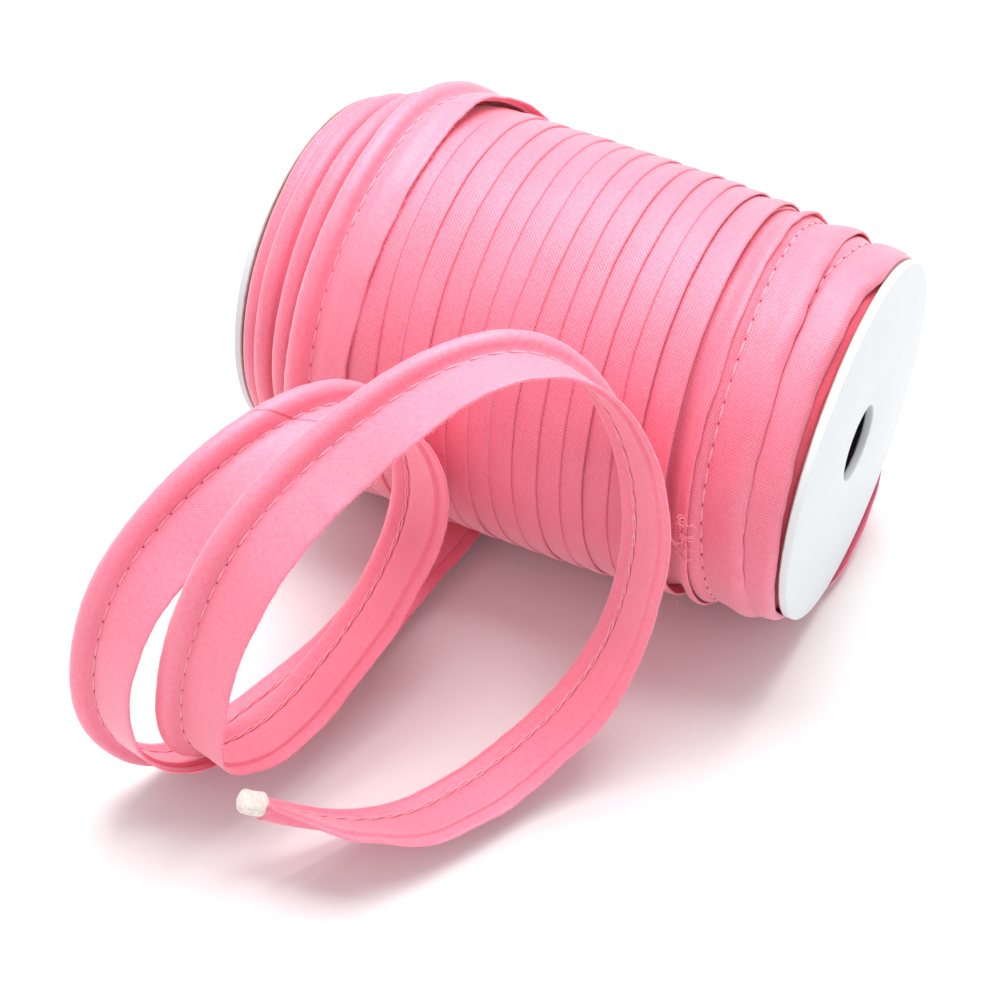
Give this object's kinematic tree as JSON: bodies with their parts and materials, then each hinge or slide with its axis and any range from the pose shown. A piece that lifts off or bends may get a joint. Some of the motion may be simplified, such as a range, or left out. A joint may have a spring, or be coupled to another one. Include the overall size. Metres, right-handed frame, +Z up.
{
  "type": "roll of piping bias binding",
  "caption": "Corded piping tape with a stitched bead and flat flange, wound on a card spool, its loose end trailing off in standing loops.",
  "frame": {"origin": "on the ground under the middle of the spool, in the winding's small flat spot", "axes": "+X along the spool's axis towards the right disc, -Y towards the loose end, +Z up"},
  "size_m": [0.0984, 0.1323, 0.0704],
  "materials": {
    "card": "matt white-coated card",
    "core_card": "matt grey card tube",
    "pink_cotton": "soft plain-weave cotton cut on the bias",
    "cord_cotton": "soft loosely twisted cotton cord"
  },
  "bodies": {
    "root": {"card_disc_left": "card", "card_disc_right": "card", "card_core": "core_card", "wound_roll": "pink_cotton", "loose_tape": "pink_cotton", "filler_cord_end": "cord_cotton"}
  },
  "joints": []
}
